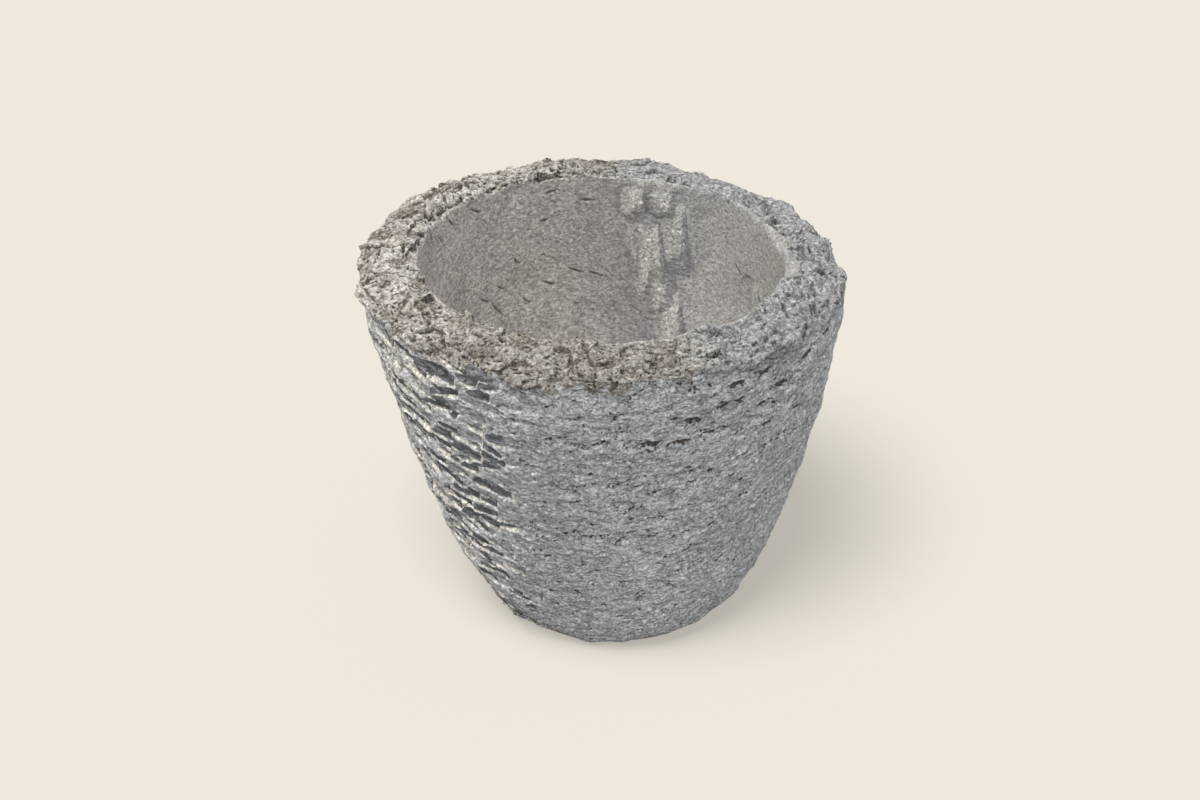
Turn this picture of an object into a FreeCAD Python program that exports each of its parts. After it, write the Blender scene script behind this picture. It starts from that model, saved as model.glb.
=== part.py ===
import FreeCAD, Part
import math
import os
import random

# Overall sizes of the vessel, in millimetres.
rim_diameter = 556.0          # outside, over the widest part of the rim
height = 460.0                # from the ground to the highest part of the rim
rim_width = 68.0              # of the stone at the mouth, from the outer to the inner edge
base_diameter = 288.0         # flat underside
rim_lean = 18.0               # the rim's centre stands this far to the left of the base's
rim_rise = 10.0               # the rim is this much higher at the back left than in front
rim_fall = 17.0               # drop of the rim's top from its crest to its outer edge

# The hollow and its drain.
floor_thickness = 80.0        # stone left under the hollow
floor_diameter = 150.0        # flat part of the hollow's bottom
drain_diameter = 32.0
drain_dish_diameter = 96.0    # worn dish round the drain, inside
drain_dish_depth = 7.0

# What the hand tools leave behind.
ledge_depth = 4.0             # step under each course of chisel cuts on the wall
ledge_rise = 3.0              # slope of that step
wall_wander = 4.5             # how far the hand-cut wall strays from a true round
rim_wander = 8.0              # ups and downs of the broken rim
hollow_wander = 2.5           # the same for the smoother inside
flake_depth = 9.0             # depth of a middling flake knocked off the rim

cuts_round = 46               # chisel cuts side by side in one course
courses = 16                  # courses of cuts from the ground to the rim
hollow_cuts = 30              # upright cuts side by side on the inside
hollow_courses = 9
overrun = 25.0                # how far a cutting tool runs past the stone

# The wall's outline: share of its height, then share of the way from base to rim radius.
wall_shares = ((0.0, 0.0), (0.03, 0.10), (0.10, 0.24), (0.22, 0.405), (0.38, 0.575),
               (0.56, 0.735), (0.74, 0.862), (0.88, 0.955), (1.0, 1.0))
# The hollow's outline, in the same way, from its floor to the mouth.
hollow_shares = ((0.0, 0.0), (0.05, 0.32), (0.14, 0.55), (0.27, 0.75), (0.42, 0.885),
                 (0.60, 0.965), (0.80, 0.995), (1.0, 1.0))
# The rim's top from its outer edge inwards: share of its width, then share of its fall.
rim_shares = ((0.09, 0.34), (0.33, 0.68), (0.61, 0.92), (0.88, 1.0))

course_growth_share = 1.2     # above 1, courses are lowest at the ground
corner_stray_share = 0.32     # how far a cut's corner strays along its course
seam_stray_share = 0.30       # how far it strays up or down
cut_stray_share = 0.45        # how uneven the cuts are, as a share of the ledge
missing_ledge_share = 0.6     # how many cuts run out with no ledge above them
slow_wave_counts = (2, 3, 5)  # lobes round the vessel that spoil its roundness
slow_wave_shares = (0.50, 0.32, 0.18)
rise_angle = 138.0            # where the rim is highest, in degrees from the right side
rise_fade_power = 4           # above 1, only the upper wall rises with the rim

# Flakes knocked off the rim: angle in degrees, place across the rim from its inner to its
# outer edge, then length and depth as shares of the rim's width and of a middling flake.
flake_shares = (
    (-7.0, 0.12, 0.95, 1.7), (5.0, 1.04, 1.20, 1.4), (10.0, 0.06, 0.85, 1.5),
    (18.0, 1.02, 1.00, 0.9), (28.0, 1.02, 0.95, 0.9), (38.0, 1.06, 0.80, 0.5),
    (50.0, 0.98, 1.00, 1.5), (61.0, 1.00, 1.05, 1.5), (72.0, 0.10, 1.20, 0.8),
    (86.0, 1.02, 1.30, 0.8), (99.0, 0.00, 1.00, 0.9), (112.0, 1.00, 1.20, 1.0),
    (127.0, 1.03, 1.10, 0.7), (141.0, 1.08, 0.80, 0.4), (156.0, 0.02, 1.15, 1.3),
    (168.0, 1.05, 1.00, 0.5), (186.0, 1.00, 1.50, 0.9), (208.0, 1.02, 1.35, 0.8),
    (229.0, 0.00, 1.30, 0.7), (236.0, 1.00, 1.40, 1.0), (256.0, 1.02, 1.50, 0.9),
    (271.0, 0.05, 1.10, 0.6), (281.0, 1.00, 1.45, 1.0), (304.0, 1.02, 1.40, 0.9),
    (314.0, 0.00, 1.25, 0.7), (331.0, 1.00, 1.45, 0.9),
)
rim_middle_share = 0.5        # a flake here faces straight up
flake_lean_share = 1.6        # how much more it leans towards the rim's edges

rim_radius = rim_diameter / 2
mouth_radius = rim_radius - rim_width
base_radius = base_diameter / 2
floor_radius = floor_diameter / 2
rim_edge_height = height - rim_rise - rim_fall


def outline(shares, low, high, inner, outer):
    """Curve of a wall: radius along X, height along Z, through the points of the shares."""
    points = []
    for up_share, out_share in shares:
        radius = inner + (outer - inner) * out_share
        points.append(FreeCAD.Vector(radius, 0, low + (high - low) * up_share))
    curve = Part.BSplineCurve()
    curve.interpolate(points)
    return curve


def point_at_height(curve, level):
    """Radius of an outline curve at a height, found by halving."""
    first = curve.FirstParameter
    last = curve.LastParameter
    for step in range(40):
        middle = (first + last) / 2
        if curve.value(middle).z < level:
            first = middle
        else:
            last = middle
    return curve.value((first + last) / 2).x


def slow_wave(angle, turn):
    """Slow hand-made wander round the vessel, between -1 and 1."""
    total = 0.0
    for count, share in zip(slow_wave_counts, slow_wave_shares):
        total += share * math.sin(count * angle + turn * count)
    return total


def on_ring(angle, radius, level):
    """A point on a level of the vessel, whose centre drifts to the left on its way up."""
    drift = -rim_lean * level / height
    return FreeCAD.Vector(drift + radius * math.cos(angle), radius * math.sin(angle), level)


def rim_lift(angle):
    """How much higher the rim is here than in front."""
    share = (1 + math.cos(angle - math.radians(rise_angle))) / 2
    return rim_rise * share * share


def flat_face(points):
    return Part.Face(Part.makePolygon(points + points[:1]))


def hewn_solid(rings):
    """A solid with flat three-cornered cuts from ring to ring and a flat face at each end."""
    faces = [flat_face(rings[0]), flat_face(rings[-1])]
    for low, high in zip(rings, rings[1:]):
        for number in range(len(low)):
            after = (number + 1) % len(low)
            one, two, three, four = low[number], low[after], high[after], high[number]
            if one.distanceToPoint(three) < two.distanceToPoint(four):
                faces += [flat_face([one, two, three]), flat_face([one, three, four])]
            else:
                faces += [flat_face([one, two, four]), flat_face([two, three, four])]
    shell = Part.makeShell(faces)
    shell.sewShape()
    return Part.makeSolid(shell)


def seam_rings(level, radius, course_height, draw):
    """The two edges of the broken ledge between two courses of chisel cuts."""
    pitch = 2 * math.pi / cuts_round
    under = []
    over = []
    for number in range(cuts_round):
        angle = (number + draw.uniform(-corner_stray_share, corner_stray_share)) * pitch
        lift = course_height * draw.uniform(-seam_stray_share, seam_stray_share)
        lift += rim_lift(angle) * (level / rim_edge_height) ** rise_fade_power
        ledge = ledge_depth * max(0, draw.uniform(-missing_ledge_share, 1))
        uneven = ledge_depth * draw.uniform(-cut_stray_share, cut_stray_share)
        middle = radius + uneven + wall_wander * slow_wave(angle, level / height)
        under.append(on_ring(angle, middle - ledge / 2, level + lift - ledge_rise))
        over.append(on_ring(angle, middle + ledge / 2, level + lift))
    return [under, over]


def base_ring():
    """The edge of the flat underside."""
    points = []
    for number in range(cuts_round):
        angle = number * 2 * math.pi / cuts_round
        points.append(on_ring(angle, base_radius + wall_wander * slow_wave(angle, 0), 0))
    return points


def rim_ring(across_share, up_share, draw):
    """One line round the broken top of the rim."""
    pitch = 2 * math.pi / cuts_round
    radius = rim_radius - rim_width * across_share
    level = rim_edge_height + rim_fall * up_share
    points = []
    for number in range(cuts_round):
        angle = (number + draw.uniform(-corner_stray_share, corner_stray_share)) * pitch
        sunk = rim_wander * draw.uniform(0, 1)
        wander = wall_wander * slow_wave(angle, level / height)
        points.append(on_ring(angle, radius + wander, level + rim_lift(angle) - sunk))
    return points


def dressed_block():
    """The stone before it is hollowed: courses of chisel cuts and a broken top."""
    draw = random.Random(5)
    wall = outline(wall_shares, 0, rim_edge_height, base_radius, rim_radius)
    rings = [base_ring()]
    below = 0
    for number in range(1, courses + 1):
        level = rim_edge_height * (number / courses) ** course_growth_share
        rings += seam_rings(level, point_at_height(wall, level), level - below, draw)
        below = level
    for across_share, up_share in rim_shares:
        rings.append(rim_ring(across_share, up_share, draw))
    top = []
    for number in range(cuts_round):
        angle = 2 * math.pi * number / cuts_round
        top.append(on_ring(angle, mouth_radius - rim_width / 2, rim_edge_height))
    return hewn_solid(rings + [top])


def hollow():
    """The space for the soil, with upright chisel cuts down its side."""
    draw = random.Random(11)
    side = outline(hollow_shares, floor_thickness, height, floor_radius, mouth_radius)
    pitch = 2 * math.pi / hollow_cuts
    levels = []
    for number in range(hollow_courses + 1):
        levels.append(floor_thickness + (height - floor_thickness) * (number / hollow_courses) ** 2)
    rings = []
    for level in levels:
        radius = point_at_height(side, level)
        points = []
        for number in range(hollow_cuts):
            angle = number * pitch
            uneven = hollow_wander * draw.uniform(-1, 1)
            points.append(on_ring(angle, radius + uneven, level))
        rings.append(points)
    above = []
    for number in range(hollow_cuts):
        above.append(on_ring(number * pitch, mouth_radius, height) + FreeCAD.Vector(0, 0, overrun))
    return hewn_solid(rings + [above])


def rim_flake(angle_degrees, across_share, length_share, depth_share):
    """A shallow rounded flake, leaning out or in with its side of the rim."""
    angle = math.radians(angle_degrees)
    length = rim_width * length_share
    depth = flake_depth * depth_share
    ball = (length * length / 4 + depth * depth) / (2 * depth)
    level = rim_edge_height + rim_fall * (1 - across_share * across_share) + rim_lift(angle)
    seat = on_ring(angle, mouth_radius + rim_width * across_share, level)
    lean = flake_lean_share * (across_share - rim_middle_share)
    away = FreeCAD.Vector(lean * math.cos(angle), lean * math.sin(angle), 1)
    away.normalize()
    return Part.makeSphere(ball, seat + away * (ball - depth))


def drain():
    """The drain through the floor and the dish worn round it."""
    radius = drain_diameter / 2
    through = Part.makeCylinder(radius, floor_thickness + 2 * overrun, FreeCAD.Vector(0, 0, -overrun))
    dish_bottom = floor_thickness - drain_dish_depth
    dish_radius = drain_dish_diameter / 2
    dish = Part.makeCone(radius, dish_radius, drain_dish_depth, FreeCAD.Vector(0, 0, dish_bottom))
    return [through, dish]


def stone_vessel():
    """The whole vessel, without the crumbs that the flakes cut free at the rim."""
    breaks = []
    for shares in flake_shares:
        breaks.append(rim_flake(*shares))
    stone = dressed_block().cut(hollow()).cut(breaks + drain())
    return max(stone.Solids, key=lambda solid: solid.Volume)


os.makedirs("parts", exist_ok=True)
vessel = stone_vessel()
print("valid", vessel.isValid(), "faces", len(vessel.Faces))
print("volume in cubic millimetres", round(vessel.Volume))
vessel.exportStep("parts/stone_vessel.step")
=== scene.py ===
import itertools
import math

import bpy
import numpy as np
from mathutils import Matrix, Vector
from mathutils.bvhtree import BVHTree


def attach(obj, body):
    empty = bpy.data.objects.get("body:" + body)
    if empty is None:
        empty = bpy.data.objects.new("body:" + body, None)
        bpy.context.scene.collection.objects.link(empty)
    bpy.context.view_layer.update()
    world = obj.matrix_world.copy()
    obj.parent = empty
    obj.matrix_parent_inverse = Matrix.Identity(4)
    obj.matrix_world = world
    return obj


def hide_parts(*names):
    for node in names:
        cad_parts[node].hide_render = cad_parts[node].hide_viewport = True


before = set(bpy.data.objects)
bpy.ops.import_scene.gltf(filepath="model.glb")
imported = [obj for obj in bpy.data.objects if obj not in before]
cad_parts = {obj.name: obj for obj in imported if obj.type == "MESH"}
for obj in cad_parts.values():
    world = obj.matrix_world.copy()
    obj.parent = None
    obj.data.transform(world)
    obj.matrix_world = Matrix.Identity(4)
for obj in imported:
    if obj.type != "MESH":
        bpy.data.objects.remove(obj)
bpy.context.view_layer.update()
print("frame loaded:", sorted(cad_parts))

fullTurn = 2 * math.pi


# plain number helpers

def ease(low, high, value):
    part = np.clip((value - low) / (high - low), 0, 1)
    return part * part * (3 - 2 * part)


def blendTo(low, high, part):
    return low + (high - low) * part


def scramble(x, y, z, seed):
    mixed = (x * 73856093 ^ y * 19349663 ^ z * 83492791 ^ seed * 40503 + 977) & 0x7FFFFFFF
    mixed = (mixed ^ mixed >> 13) * 1274126177 & 0x7FFFFFFF
    return mixed ^ mixed >> 15


def thirds(number):    # three numbers from 0 to 1 out of one scrambled one
    return [(number >> 10 * axis & 1023) / 1023 for axis in range(3)]


def grain(points, size, seed):    # smooth noise from about -1 to 1
    spot = points / size
    cell = np.floor(spot).astype(np.int64)
    part = spot - cell
    curve = part ** 3 * (part * (part * 6 - 15) + 10)
    total = np.zeros(points.shape[:-1])
    for corner in itertools.product((0, 1), repeat=3):
        number = scramble(*(cell[..., axis] + corner[axis] for axis in range(3)), seed)
        lean, weight = 0, 1
        for axis, share in enumerate(thirds(number)):
            lean = lean + (2 * share - 1) * (part[..., axis] - corner[axis])
            weight = weight * (curve[..., axis] if corner[axis] else 1 - curve[..., axis])
        total += lean * weight
    return total * 1.7


def grains(points, layers):    # noise of several sizes added up, each layer as height, size, seed
    return sum(height * grain(points, size, seed) for height, size, seed in layers)


def chips(points, size, seed):    # flat chips of broken stone: height of each one's tilted face, crack between two
    spot = points / size
    cell = np.floor(spot).astype(np.int64)
    shape = points.shape[:-1]
    best, second = np.full(shape, 9.0), np.full(shape, 9.0)      # farther than any chip
    height = np.zeros(shape)
    for step in itertools.product((-1, 0, 1), repeat=3):
        near = cell + np.array(step)
        number = scramble(near[..., 0], near[..., 1], near[..., 2], seed)
        away = [spot[..., axis] - near[..., axis] - share for axis, share in enumerate(thirds(number))]
        far = np.sqrt(away[0] ** 2 + away[1] ** 2 + away[2] ** 2)
        tilt = thirds(scramble(number, near[..., 0], near[..., 2], seed + 5))
        lean = sum((2 * share - 1) * way for share, way in zip(tilt, away))
        closer = far < best
        second = np.where(closer, best, np.minimum(second, far))
        height = np.where(closer, lean, height)
        best = np.where(closer, far, best)
    return height, second - best


def fractured(points, sizes, seed):    # a rough break: sharp crests with finer and finer ones on them
    return sum(size * (0.42 - np.abs(grain(points, size, seed + number))) for number, size in enumerate(sizes))


# the vessel's outline, in metres, up the outside and down the inside

vessel = dict(
    columns=1440,
    rim=0.278, mouth=0.210, base=0.144, floor=0.075, dish=0.048, drain=0.016,              # radii
    top=0.452, mouthTop=0.446, rimEdge=0.433, floorLevel=0.080, dishLevel=0.073,           # heights
    lean=0.018,                     # the rim's middle stands this far to the left
    leanStart=(0.02, 0.06),         # radii over which the lean sets in, clear of the drain
    wall=[(0, 0), (0.03, 0.10), (0.10, 0.24), (0.22, 0.405), (0.38, 0.575), (0.56, 0.735),
          (0.74, 0.862), (0.88, 0.955), (1, 1)],
    hollow=[(0, 0), (0.05, 0.32), (0.14, 0.55), (0.27, 0.75), (0.42, 0.885), (0.60, 0.965),
            (0.80, 0.995), (1, 1)],
    crown=[(0.09, 0.34), (0.33, 0.68), (0.61, 0.92), (0.88, 1)],
    steps=dict(under=0.005, wall=0.0013, rim=0.0011, hollow=0.0012, floor=0.0035, drain=0.006),
    stepFade=0.004, lineStep=0.0003, rounding=0.0018, coarse=1,
    wallRadius=0.24,                # a middling one, for sizes measured on the wall
)


def runs():    # the outline as named runs of (radius, height) points
    v = vessel
    wall = [(blendTo(v["base"], v["rim"], out), v["rimEdge"] * up) for up, out in v["wall"]]
    hollow = [(blendTo(v["floor"], v["mouth"], out), blendTo(v["floorLevel"], v["mouthTop"], up))
              for up, out in reversed(v["hollow"])]
    width, fall = v["rim"] - v["mouth"], v["top"] - v["rimEdge"]
    crown = [(v["rim"] - width * across, v["rimEdge"] + fall * up) for across, up in v["crown"]]
    floor = [hollow[-1], (v["dish"], v["floorLevel"]), (v["drain"], v["dishLevel"])]
    return [("under", [(v["drain"], 0), (v["base"], 0)], False), ("wall", wall, True),
            ("rim", [wall[-1]] + crown + [hollow[0]], True), ("hollow", hollow, True), ("floor", floor, False),
            ("drain", [floor[-1], (v["drain"], 0)], False)]


def curveThrough(points, rounded):    # points a few tenths of a millimetre apart along one run
    points = np.array(points, float)
    gaps = np.hypot(*np.diff(points, axis=0).T)
    place = np.concatenate([[0], np.cumsum(gaps)])
    dense = np.linspace(0, place[-1], int(place[-1] / vessel["lineStep"]) + 2)
    if not rounded:
        return np.stack([np.interp(dense, place, points[:, axis]) for axis in range(2)], 1)
    slope = np.gradient(points, place, axis=0)
    span = np.clip(np.searchsorted(place, dense, "right") - 1, 0, len(gaps) - 1)
    part, gap = ((dense - place[span]) / gaps[span])[:, None], gaps[span][:, None]
    return (points[span] * (1 + 2 * part) * (1 - part) ** 2 + points[span + 1] * part ** 2 * (3 - 2 * part)
            + gap * slope[span] * part * (1 - part) ** 2 - gap * slope[span + 1] * part ** 2 * (1 - part))


def outlineRows():
    line, step, name = [], [], []
    for run, points, rounded in runs():
        dense = curveThrough(points, rounded)[:-1]
        line.append(dense)
        step.append(np.full(len(dense), vessel["steps"][run]))
        name += [run] * len(dense)
    line, step, name = np.concatenate(line), np.concatenate(step), np.array(name)
    turns = np.fft.fftfreq(len(line), vessel["lineStep"])

    def soften(values, length):
        return np.fft.ifft(np.fft.fft(values) * np.exp(-2 * (math.pi * length * turns) ** 2)).real

    line = np.stack([soften(line[:, axis], vessel["rounding"]) for axis in range(2)], 1)
    step = soften(step, vessel["stepFade"]) * vessel["coarse"]
    gaps = np.hypot(*(np.roll(line, -1, 0) - line).T)
    arc, count = (np.concatenate([[0], np.cumsum(values)]) for values in (gaps, gaps / step))
    rows = int(count[-1])
    rowArc = np.interp(np.arange(rows) / rows * count[-1], count, arc)
    closed = np.concatenate([line, line[:1]])
    spots = np.stack([np.interp(rowArc, arc, closed[:, axis]) for axis in range(2)], 1)
    ends = {run: (arc[np.argmax(name == run)], arc[len(name) - np.argmax(name[::-1] == run)]) for run in set(name)}
    ahead = np.roll(spots, -1, 0) - np.roll(spots, 1, 0)
    ahead /= np.hypot(*ahead.T)[:, None]
    return spots, np.stack([ahead[:, 1], -ahead[:, 0]], 1), rowArc, ends


spots, outward, rowArc, ends = outlineRows()
rowCount, columnCount = len(spots), vessel["columns"]
grid = (rowCount, columnCount)
pitch = fullTurn / columnCount
angles = np.arange(columnCount) * pitch
rowRadius = spots[:, 0]
degrees = (np.degrees(angles) + 180) % 360 - 180      # 0 is the right side, -90 the front
middle = -vessel["lean"] * spots[:, 1] / vessel["top"] * ease(*vessel["leanStart"], rowRadius)
surface = np.stack([middle[:, None] + rowRadius[:, None] * np.cos(angles), rowRadius[:, None] * np.sin(angles),
                    np.broadcast_to(spots[:, 1:], grid)], 2)
normals = np.stack([outward[:, :1] * np.cos(angles), outward[:, :1] * np.sin(angles),
                    np.broadcast_to(outward[:, 1:], grid)], 2)
arcAt = np.broadcast_to(rowArc[:, None], grid)
wallLow, wallTop = ends["wall"]
rimTop, hollowEnd = ends["hollow"]
print("outline:", rowCount, "rows of", columnCount)


def blur(values, size):    # size in metres, as it is on the wall
    across = size / (pitch * vessel["wallRadius"])
    along = size / (vessel["steps"]["wall"] * vessel["coarse"])
    fade = np.exp(-2 * (math.pi * along * np.fft.fftfreq(rowCount)[:, None]) ** 2
                  - 2 * (math.pi * across * np.fft.rfftfreq(columnCount)) ** 2)
    return np.fft.irfft2(np.fft.rfft2(values) * fade, s=grid)


# masks: where the wall, the broken rim and the hollow are

edges = dict(
    ground=(0.002, 0.012), floorFade=0.03,                      # where the wall's marks begin and the hollow's end
    wallDrop=0.006, wallFade=0.004, wallLayers=((0.012, 0.17, 3), (0.009, 0.06, 4), (0.004, 0.022, 9)),
    lipDrop=0.001, lipFade=0.002, lipLayers=((0.003, 0.10, 5), (0.002, 0.03, 6)),
    back=100, flankStart=(-106, -120), flank=(-175, 85), right=(0, 95),      # degrees, with centre and spread
    flankLayers=((12, 0.05, 25), (8, 0.02, 26)),
)


def towards(centre, spread):    # 1 at an angle round the vessel, fading out over the spread
    gap = np.abs((degrees - centre + 180) % 360 - 180)
    return ease(spread, spread * 0.5, gap)


def flankFrom(turn):    # 1 on the left flank, from its edge towards the front
    return ease(*edges["flankStart"], turn) * towards(*edges["flank"])


def crossing(line, fade, up):    # 0 to 1 over a line round the vessel, upwards or downwards
    return ease(line - fade * up, line + fade * up, arcAt)


ring = np.stack([np.cos(angles), np.sin(angles), np.zeros(columnCount)], 1)
edge = wallTop - edges["wallDrop"] + grains(ring, edges["wallLayers"])
lip = rimTop - edges["lipDrop"] + grains(ring, edges["lipLayers"])
groundLow, groundHigh = (wallLow + rise for rise in edges["ground"])
onWall = ease(groundLow, groundHigh, arcAt) * crossing(edge, edges["wallFade"], -1)
onRim = crossing(edge, edges["wallFade"], 1) * crossing(lip, edges["lipFade"], -1)
inHollow = crossing(lip, edges["lipFade"], 1) * ease(hollowEnd + edges["floorFade"], hollowEnd, arcAt)
leftward = np.where(degrees > edges["back"], degrees - 360, degrees)
leftFlank = flankFrom(leftward)
rightSide = towards(*edges["right"])


# the CAD solid's own lean, wander and flakes, taken over by looking in from outside

solidFit = dict(
    reach=0.028, limits=(-0.022, 0.020), clear=0.9, wallBlur=0.0045, rimBlur=0.0018, skip=2,
    sideLayers=((0.0024, 0.012, 21), (0.0014, 0.005, 22)), upLayers=((0.0018, 0.011, 23), (0.0011, 0.005, 24)),
)


def followSolid():
    tree = BVHTree.FromObject(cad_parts["stone_vessel"], bpy.context.evaluated_depsgraph_get())
    reach, skip = solidFit["reach"], solidFit["skip"]
    rows, columns = np.arange(0, rowCount, skip), np.arange(0, columnCount, skip)
    found = np.zeros((len(rows), len(columns)))
    for i, row in enumerate(rows):
        back = min(reach, rowRadius[row] * solidFit["clear"])
        for j, column in enumerate(columns):
            way = Vector(normals[row, column])
            hit = tree.ray_cast(Vector(surface[row, column]) + way * back, -way, back + reach)
            found[i, j] = back - hit[3] if hit[0] is not None else 0
    full = np.stack([np.interp(np.arange(columnCount), columns, line, period=columnCount) for line in found])
    full = np.stack([np.interp(np.arange(rowCount), rows, line) for line in full.T], 1)
    full = np.clip(full, *solidFit["limits"])
    return blendTo(blur(full, solidFit["wallBlur"]), blur(full, solidFit["rimBlur"]), onRim)


surface = surface + normals * followSolid()[..., None]
warpSide, warpUp = grains(surface, solidFit["sideLayers"]), grains(surface, solidFit["upLayers"])
flankWall = onWall * flankFrom(leftward + grains(surface, edges["flankLayers"]))
print("outline laid on the solid")


def wallArc(height):
    rows = (rowArc > wallLow) & (rowArc < wallTop)
    return np.interp(height, spots[rows, 1], rowArc[rows])


def hollowArc(height):
    rows = np.nonzero((rowArc > rimTop) & (rowArc < hollowEnd))[0][::-1]
    return np.interp(height, spots[rows, 1], rowArc[rows])


cutShape = dict(
    margin=0.004, smallRadius=0.02, blunt=1.5, thinnest=0.05, bowMiddle=0.4, flatGain=1.3,
    dirtGain=1.6, dirtStart=0.4, dirtLow=0.4, upperEdgeShade=(-0.7, 0.2),
    scoopWarp=0.25, taper=0.28, taperMiddle=0.95, taperEnds=(0.5, 1.4), scoopEdge=0.02,
    chatter=0.00022, chatterPace=870, chatterStray=1500, chatterFade=(0.02, 0.2),      # where the chisel jumped
)


# a layer of tool cuts: how deep they are, how much dirt and painted shade they hold, the tone of each and the steep
# faces that end it
class Cuts:
    def __init__(self):
        self.depth, self.dirt, self.tone, self.riser = (np.zeros(grid) for field in range(4))

    def near(self, angle, along, length, width, tilt, warp):    # the spots round a cut, in its half lengths and widths
        reach = 0.5 * math.hypot(length, width) + cutShape["margin"]
        rows = np.arange(*np.searchsorted(rowArc, (along - reach, along + reach)))
        turn = reach / max(np.interp(along, rowArc, rowRadius), cutShape["smallRadius"])
        columns = np.arange(math.floor((angle - turn) / pitch), math.ceil((angle + turn) / pitch))
        patch = np.ix_(rows, columns % columnCount)
        side = (columns * pitch - angle) * rowRadius[rows][:, None] + warp * warpSide[patch]
        up = rowArc[rows][:, None] - along + warp * warpUp[patch]
        x = (side * math.cos(tilt) + up * math.sin(tilt)) / (length / 2)
        return patch, x, (up * math.cos(tilt) - side * math.sin(tilt)) / (width / 2)

    # deepest near its right end and upper edge, like the break that ends a stroke
    def add(self, angle, along, length, width, depth, tilt=0.0, cliff=0.7, ledge=0.4, bow=0.0, dirt=0.5,
            flat=0.3, warp=1.0):
        c = cutShape
        patch, x, y = self.near(angle, along, length, width, tilt, warp)
        y = y + bow * (x * x - c["bowMiddle"])
        narrow = np.where(x > 0, x * min(1, c["blunt"] * cliff), x)      # boat-shaped, blunt where the end is a cliff
        y = y / np.sqrt(np.clip(1 - narrow * narrow, c["thinnest"], 1))
        lengthwise = np.minimum((1 + x) / (2 - cliff), (1 - x) / cliff)
        crosswise = np.minimum((1 + y) / (2 - ledge), (1 - y) / ledge)
        plane = np.clip(np.minimum(lengthwise, crosswise) * c["flatGain"], 0, 1)
        bowl = np.sqrt(np.clip(lengthwise, 0, 1) * np.clip(crosswise, 0, 1))
        shape = np.where(np.minimum(lengthwise, crosswise) > 0, blendTo(bowl, plane, flat), 0)
        steep = 1 - np.clip(np.minimum((1 - x) / cliff, (1 + y) / (2 - ledge)), 0, 1)
        deeper = depth * shape > self.depth[patch]
        self.riser[patch] = np.where(deeper, steep, self.riser[patch])
        self.tone[patch] = np.where(deeper, dirt, self.tone[patch])
        self.depth[patch] = np.maximum(self.depth[patch], depth * shape)
        # the dirt held grows towards the cut's upper edge: painted shade under its overhang
        held = np.clip(shape * c["dirtGain"] - c["dirtStart"], 0, 1) * blendTo(c["dirtLow"], 1, ease(*c["upperEdgeShade"], y))
        self.dirt[patch] = np.maximum(self.dirt[patch], dirt * held)

    def scoop(self, angle, along, length, width, depth, tilt, dirt):    # a round-bottomed flute with sharp edges
        c = cutShape
        patch, x, y = self.near(angle, along, length, width, tilt, c["scoopWarp"])
        y = y / np.clip(c["taperMiddle"] - c["taper"] * x, *c["taperEnds"])          # narrower towards its lower end
        shape = np.clip(1 - y * y - np.abs(x) ** 3, 0, 1)
        chatter = np.sin(x * length * c["chatterPace"] + c["chatterStray"] * warpUp[patch])
        chatter = chatter * ease(*c["chatterFade"], shape)
        self.dirt[patch] = np.maximum(self.dirt[patch], dirt * (shape > c["scoopEdge"]))
        self.depth[patch] = np.maximum(self.depth[patch], depth * shape + c["chatter"] * chatter)


# the wall, dressed with a point and a broad chisel in rough level rows

wallDressing = dict(
    low=0.008,                      # the lowest cuts are this far above the ground's edge
    slow=0.0014, slowLayers=((1, 0.11, 41), (0.6, 0.045, 42)), lumps=0.0009, lumpLayers=((1, 0.019, 45), (0.6, 0.011, 46)),
    fine=0.0007, fineLayers=((1, 0.0062, 43), (0.7, 0.0035, 44)), fineRough=(0.8, 2.0),      # on clean and dirty stone
    strokes=0.0006, flankLoss=0.6,
)
# sizes in pairs are for the ground and the rim, other pairs are the ends that a draw keeps to, tilts are mean and spread
troughCut = dict(
    count=900, crowding=0.8, top=0.010, lengths=(0.026, 0.056), widths=(0.0085, 0.0170), depths=(0.0010, 0.0030),
    longer=(0.6, 1.5), wider=(0.7, 1.4), deeper=(0.4, 1.3), tilt=(3, 10), cliff=(0.4, 0.9), ledge=(0.3, 0.8),
    dirt=(0.0, 0.3), flat=0.3,
)
gougeCut = dict(
    count=1000, crowding=0.85, top=0.014, flankLoss=0.7, smallest=0.60, lengths=(0.010, 0.034),
    widthShare=(0.16, 0.28), widthMore=0.0032, depthShare=(0.28, 0.46), tilt=(9, 12), cliff=(0.5, 1), ledge=(0.4, 0.8),
    dirt=(0.1, 0.55), flat=0.15, bites=(0, 7),
)
deepGouge = dict(
    width=0.0125, depth=0.0056, cliff=0.55, ledge=0.40, dirt=0.9, flat=0.2, bites=4,
    # angle round the vessel, height, length, tilt
    places=[(-59, 0.404, 0.036, 10), (-46, 0.382, 0.034, 10), (-38, 0.405, 0.034, 14), (-28, 0.379, 0.036, 12),
            (-48, 0.331, 0.036, 12), (-36, 0.292, 0.028, 8), (-46, 0.296, 0.034, 10), (-62, 0.378, 0.032, 6),
            (-57, 0.380, 0.016, 6), (-50, 0.364, 0.036, 6), (-38, 0.354, 0.030, 10), (-25, 0.309, 0.026, 8),
            (-38, 0.378, 0.030, 8), (-51, 0.408, 0.034, 12), (-14, 0.360, 0.036, 8), (-10, 0.402, 0.034, 6),
            (2, 0.372, 0.036, 4), (-70, 0.366, 0.040, 4), (-80, 0.344, 0.044, 2), (-73, 0.340, 0.040, 6)],
)
biteCut = dict(
    aside=(-0.36, 0.40), sizes=(0.0032, 0.0066), up=(0.05, 0.24), longer=(0.9, 1.7), widthShare=0.85,
    depthShare=(0.40, 0.62), cliff=0.9, ledge=0.8, dirt=(0.5, 1.1), flat=0.1,
)
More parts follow.
